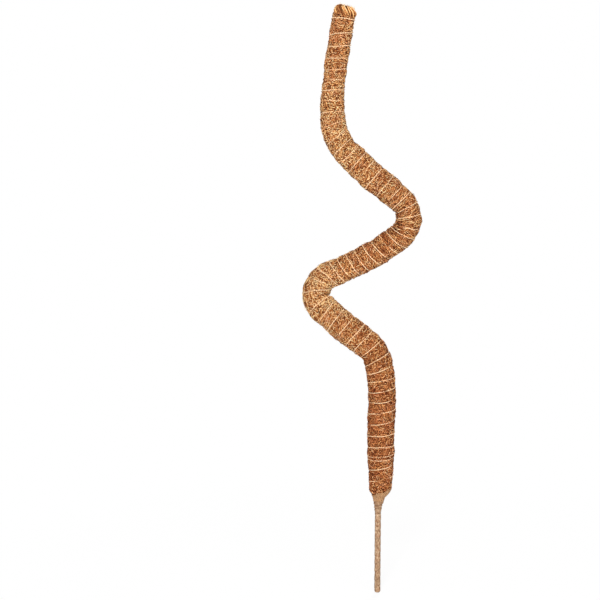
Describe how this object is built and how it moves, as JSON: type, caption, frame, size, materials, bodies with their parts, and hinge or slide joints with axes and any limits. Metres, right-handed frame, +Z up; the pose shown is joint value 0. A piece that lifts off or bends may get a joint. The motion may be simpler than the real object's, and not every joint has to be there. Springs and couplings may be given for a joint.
{
  "type": "bendable moss pole",
  "caption": "Bendable coir plant support: a soft wire core padded with coir, rolled in a coir mat, bound with twine and set on a jute-wrapped stake.",
  "frame": {"origin": "on the stake's axis at the soil line, where the jute collar begins", "axes": "+Z up along the stake, +X to the right and -Y to the viewer in the view that shows the bends side on"},
  "size_m": [0.1076, 0.0424, 0.5521],
  "materials": {
    "coir": "coarse brown coconut fibre mat",
    "padding": "loose brown coconut fibre filling",
    "twine": "thin pale natural twine",
    "jute": "tan jute tape and cloth",
    "wire": "soft annealed iron wire"
  },
  "bodies": {
    "lower_length": {"stake_wrap": "jute", "jute_collar": "jute", "twine_knot_lower": "twine", "core_wire_lower": "wire", "inner_padding_lower": "padding", "coir_mat_lower": "coir", "binding_twine_lower": "twine", "core_wire_bend_1": "wire", "inner_padding_bend_1": "padding", "coir_mat_bend_1": "coir", "binding_twine_bend_1": "twine"},
    "second_length": {"core_wire_second": "wire", "inner_padding_second": "padding", "coir_mat_second": "coir", "binding_twine_second": "twine", "core_wire_bend_2": "wire", "inner_padding_bend_2": "padding", "coir_mat_bend_2": "coir", "binding_twine_bend_2": "twine"},
    "third_length": {"core_wire_third": "wire", "inner_padding_third": "padding", "coir_mat_third": "coir", "binding_twine_third": "twine", "core_wire_bend_3": "wire", "inner_padding_bend_3": "padding", "coir_mat_bend_3": "coir", "binding_twine_bend_3": "twine"},
    "fourth_length": {"core_wire_fourth": "wire", "inner_padding_fourth": "padding", "coir_mat_fourth": "coir", "binding_twine_fourth": "twine", "core_wire_bend_4": "wire", "inner_padding_bend_4": "padding", "coir_mat_bend_4": "coir", "binding_twine_bend_4": "twine"},
    "top_length": {"core_wire_top": "wire", "inner_padding_top": "padding", "coir_mat_top": "coir", "binding_twine_top": "twine", "coir_tuft": "coir", "twine_knot_top": "twine"}
  },
  "joints": [
    {"name": "bend_1", "type": "hinge", "parent": "lower_length", "child": "second_length", "pos_m": [0.00109, 0.00076, 0.13714], "axis": [-0.1941, -0.9809, 0.0136], "range_deg": [-53, 25], "deforming": ["core_wire_bend_1", "inner_padding_bend_1", "coir_mat_bend_1", "binding_twine_bend_1"]},
    {"name": "bend_2", "type": "hinge", "parent": "second_length", "child": "third_length", "pos_m": [-0.06044, 0.01335, 0.20444], "axis": [0.1803, 0.9834, -0.0221], "range_deg": [-118, 10], "deforming": ["core_wire_bend_2", "inner_padding_bend_2", "coir_mat_bend_2", "binding_twine_bend_2"]},
    {"name": "bend_3", "type": "hinge", "parent": "third_length", "child": "fourth_length", "pos_m": [0.02742, -0.00233, 0.27217], "axis": [-0.1689, -0.9851, -0.0329], "range_deg": [-102, 15], "deforming": ["core_wire_bend_3", "inner_padding_bend_3", "coir_mat_bend_3", "binding_twine_bend_3"]},
    {"name": "bend_4", "type": "hinge", "parent": "fourth_length", "child": "top_length", "pos_m": [-0.03893, 0.00652, 0.3425], "axis": [0.1378, 0.9904, 0.0048], "range_deg": [-49, 25], "deforming": ["core_wire_bend_4", "inner_padding_bend_4", "coir_mat_bend_4", "binding_twine_bend_4"]}
  ]
}
